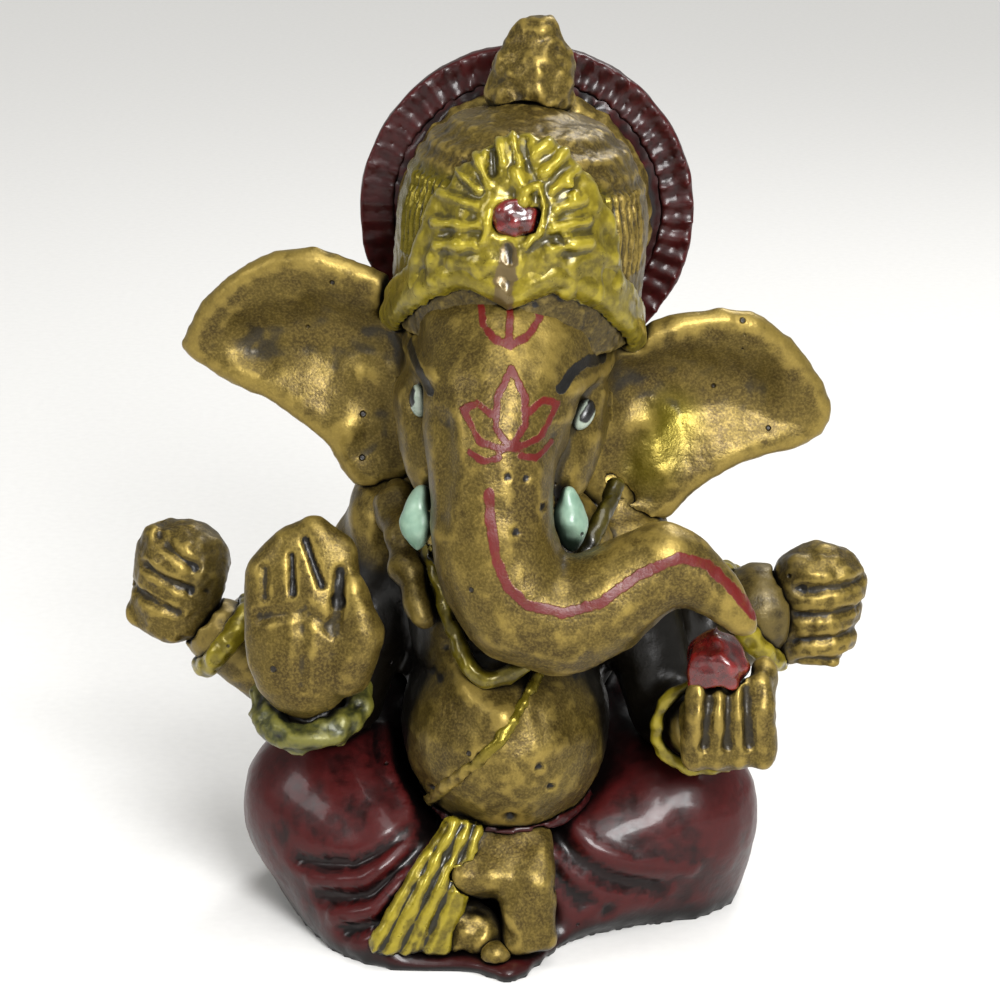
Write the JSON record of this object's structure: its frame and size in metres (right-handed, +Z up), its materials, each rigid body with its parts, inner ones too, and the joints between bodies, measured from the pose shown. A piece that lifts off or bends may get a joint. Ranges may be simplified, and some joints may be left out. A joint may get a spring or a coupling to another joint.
{
  "type": "seated elephant-headed figurine",
  "caption": "Small painted casting of a seated elephant-headed figure with crown, halo, four arms and a flat underside.",
  "frame": {"origin": "on the flat underside, below the middle of the trunk and crown, between the knees", "axes": "+Z up out of the underside, the figure faces -Y, its left hand side is +X"},
  "size_m": [0.0688, 0.0412, 0.0817],
  "materials": {
    "gilt_paint": "antique gold metallic paint with a dark brown wash in the hollows",
    "maroon_enamel": "glossy maroon enamel, brushed on",
    "yellow_glaze": "translucent yellow-green lacquer over the gold",
    "jade_paint": "pale green paint with worn gold showing through",
    "aqua_paint": "pale aqua paint",
    "eye_paint": "white paint with a black pupil",
    "red_paint": "glossy red paint"
  },
  "bodies": {
    "root": {"plinth": "maroon_enamel", "robe_seat": "maroon_enamel", "robe_right_leg": "maroon_enamel", "robe_left_leg": "maroon_enamel", "sash_pleats": "yellow_glaze", "waistband": "maroon_enamel", "upper_foot": "gilt_paint", "lower_foot": "gilt_paint", "toe": "gilt_paint", "torso": "gilt_paint", "belly": "gilt_paint", "sacred_thread": "gilt_paint", "necklace": "yellow_glaze", "shoulder_lock": "gilt_paint", "head": "gilt_paint", "trunk": "gilt_paint", "right_ear": "gilt_paint", "left_ear": "gilt_paint", "right_tusk": "aqua_paint", "left_tusk": "aqua_paint", "right_eye": "eye_paint", "left_eye": "eye_paint", "crown_cap": "gilt_paint", "crown_rim": "gilt_paint", "crown_band": "yellow_glaze", "crown_plate": "yellow_glaze", "crown_jewel": "red_paint", "crown_finial": "gilt_paint", "halo_disc": "maroon_enamel", "halo_rim": "maroon_enamel", "right_rear_arm": "gilt_paint", "right_rear_bangle": "yellow_glaze", "right_rear_hand": "gilt_paint", "right_front_arm": "gilt_paint", "right_front_bangle": "jade_paint", "right_front_hand": "gilt_paint", "right_thumb": "gilt_paint", "left_rear_arm": "gilt_paint", "left_rear_bangle": "yellow_glaze", "left_rear_hand": "gilt_paint", "left_front_arm": "gilt_paint", "left_front_bangle": "yellow_glaze", "left_front_hand": "gilt_paint", "sweet": "red_paint"}
  },
  "joints": []
}
